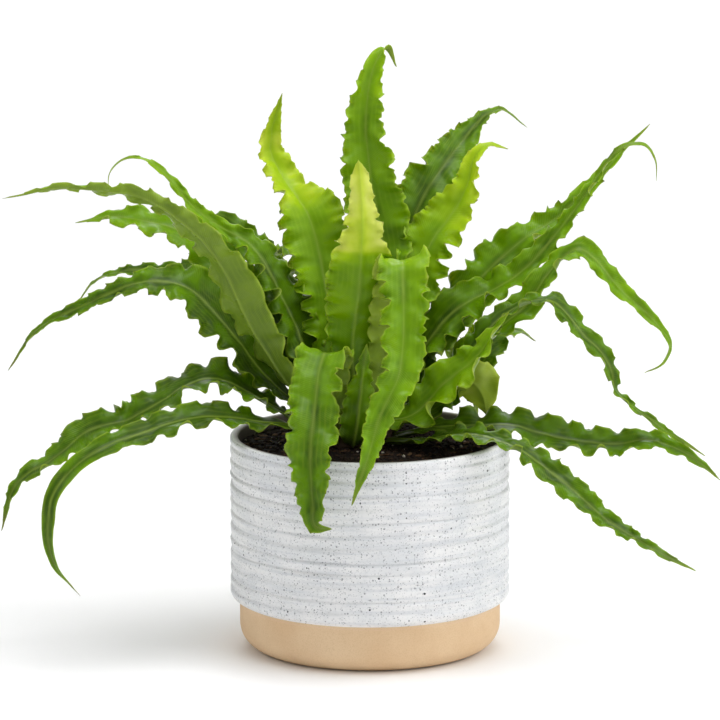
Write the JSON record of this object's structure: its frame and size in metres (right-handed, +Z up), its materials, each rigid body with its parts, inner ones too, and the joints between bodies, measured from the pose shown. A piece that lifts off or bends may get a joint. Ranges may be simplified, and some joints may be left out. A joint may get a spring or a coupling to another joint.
{
  "type": "potted fern",
  "caption": "Bird's-nest fern with long ruffled strap fronds, growing from a low crown in a round ribbed ceramic planter with a bare clay foot.",
  "frame": {"origin": "centre of the pot's flat underside, where the part rests on a surface", "axes": "+Z up along the pot's axis; -Y is the front, where two fronds hang over the rim; +X to the right seen from the front"},
  "size_m": [0.419, 0.319, 0.3522],
  "materials": {
    "glazed_pot": "off-white speckled satin glaze over ribs, bare matte clay foot",
    "potting_soil": "dark damp peat with a few light specks",
    "crown": "brown scaly rhizome with green stalk bases",
    "frond_green": "satin leaf with ruffled margins, paler below",
    "frond_young": "satin young leaf, yellow-green at the tip",
    "frond_dark": "satin older leaf, deep green"
  },
  "bodies": {
    "root": {"pot": "glazed_pot", "soil": "potting_soil", "crown": "crown", "frond_left_1": "frond_green", "frond_left_2": "frond_green", "frond_left_3": "frond_green", "frond_left_4": "frond_green", "frond_left_5": "frond_green", "frond_left_6": "frond_green", "frond_left_7": "frond_green", "frond_left_8": "frond_green", "frond_centre_1": "frond_young", "frond_centre_2": "frond_young", "frond_centre_3": "frond_young", "frond_centre_4": "frond_young", "frond_centre_5": "frond_young", "frond_centre_6": "frond_young", "frond_centre_7": "frond_young", "frond_centre_8": "frond_young", "frond_right_1": "frond_green", "frond_right_2": "frond_green", "frond_right_3": "frond_green", "frond_right_4": "frond_green", "frond_right_5": "frond_green", "frond_right_6": "frond_green", "frond_right_7": "frond_green", "frond_right_8": "frond_green", "frond_right_9": "frond_green", "frond_back_1": "frond_dark", "frond_back_2": "frond_dark", "frond_back_3": "frond_dark", "frond_back_4": "frond_dark", "frond_back_5": "frond_dark"}
  },
  "joints": []
}
